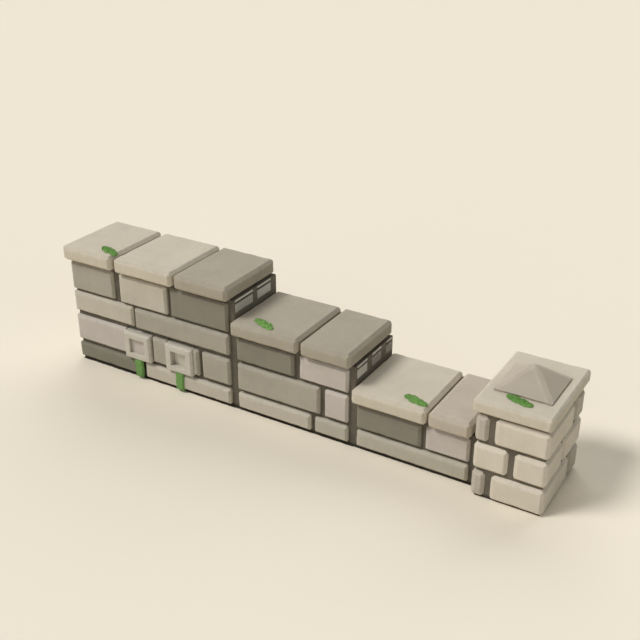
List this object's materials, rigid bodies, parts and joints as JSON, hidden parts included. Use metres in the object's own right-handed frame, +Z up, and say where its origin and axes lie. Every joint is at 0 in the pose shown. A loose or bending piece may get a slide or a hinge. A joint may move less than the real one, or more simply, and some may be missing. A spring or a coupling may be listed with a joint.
{
  "type": "stone retaining wall",
  "caption": "Low stone retaining wall that steps down in bays of coursed blocks under chamfered copings to a square end pier with a cap and low pyramid.",
  "frame": {"origin": "centre of the footprint at ground level", "axes": "+X along the wall from its high end to the end pier, -Y out of the exposed face, +Z up"},
  "size_m": [3.968, 0.75, 1],
  "materials": {
    "light_stone": "rough split stone",
    "olive_stone": "rough split stone",
    "dark_stone": "rough split stone",
    "cream_stone": "dressed stone",
    "mortar": "rough mortar"
  },
  "bodies": {
    "root": {"core_high": "mortar", "core_middle": "mortar", "core_low": "mortar", "pier_core": "mortar", "high_coping_1": "light_stone", "high_coping_2": "light_stone", "high_coping_3": "olive_stone", "middle_coping_1": "olive_stone", "middle_coping_2": "olive_stone", "low_coping_1": "light_stone", "low_coping_2": "olive_stone", "high_base_1": "dark_stone", "high_base_2": "light_stone", "high_second_1": "light_stone", "high_second_2": "olive_stone", "high_second_3": "olive_stone", "high_third_1": "light_stone", "high_third_2": "olive_stone", "high_top_1": "olive_stone", "high_top_2": "light_stone", "high_top_3": "dark_stone", "middle_base_1": "light_stone", "middle_base_2": "olive_stone", "middle_second_1": "olive_stone", "middle_second_2": "light_stone", "middle_top_1": "dark_stone", "middle_top_2": "light_stone", "low_base_1": "olive_stone", "low_top_1": "dark_stone", "low_top_2": "light_stone", "weep_surround_1": "cream_stone", "weep_surround_2": "cream_stone", "weep_plug_1": "olive_stone", "weep_plug_2": "olive_stone", "end_stones_left": "olive_stone", "end_stones_high": "olive_stone", "end_stones_middle": "olive_stone", "back_stones_high": "olive_stone", "back_stones_middle": "olive_stone", "back_stones_low": "olive_stone", "pier_course_lower": "light_stone", "pier_course_middle": "light_stone", "pier_course_upper": "light_stone", "pier_cap": "light_stone", "pier_pyramid": "olive_stone"}
  },
  "joints": []
}
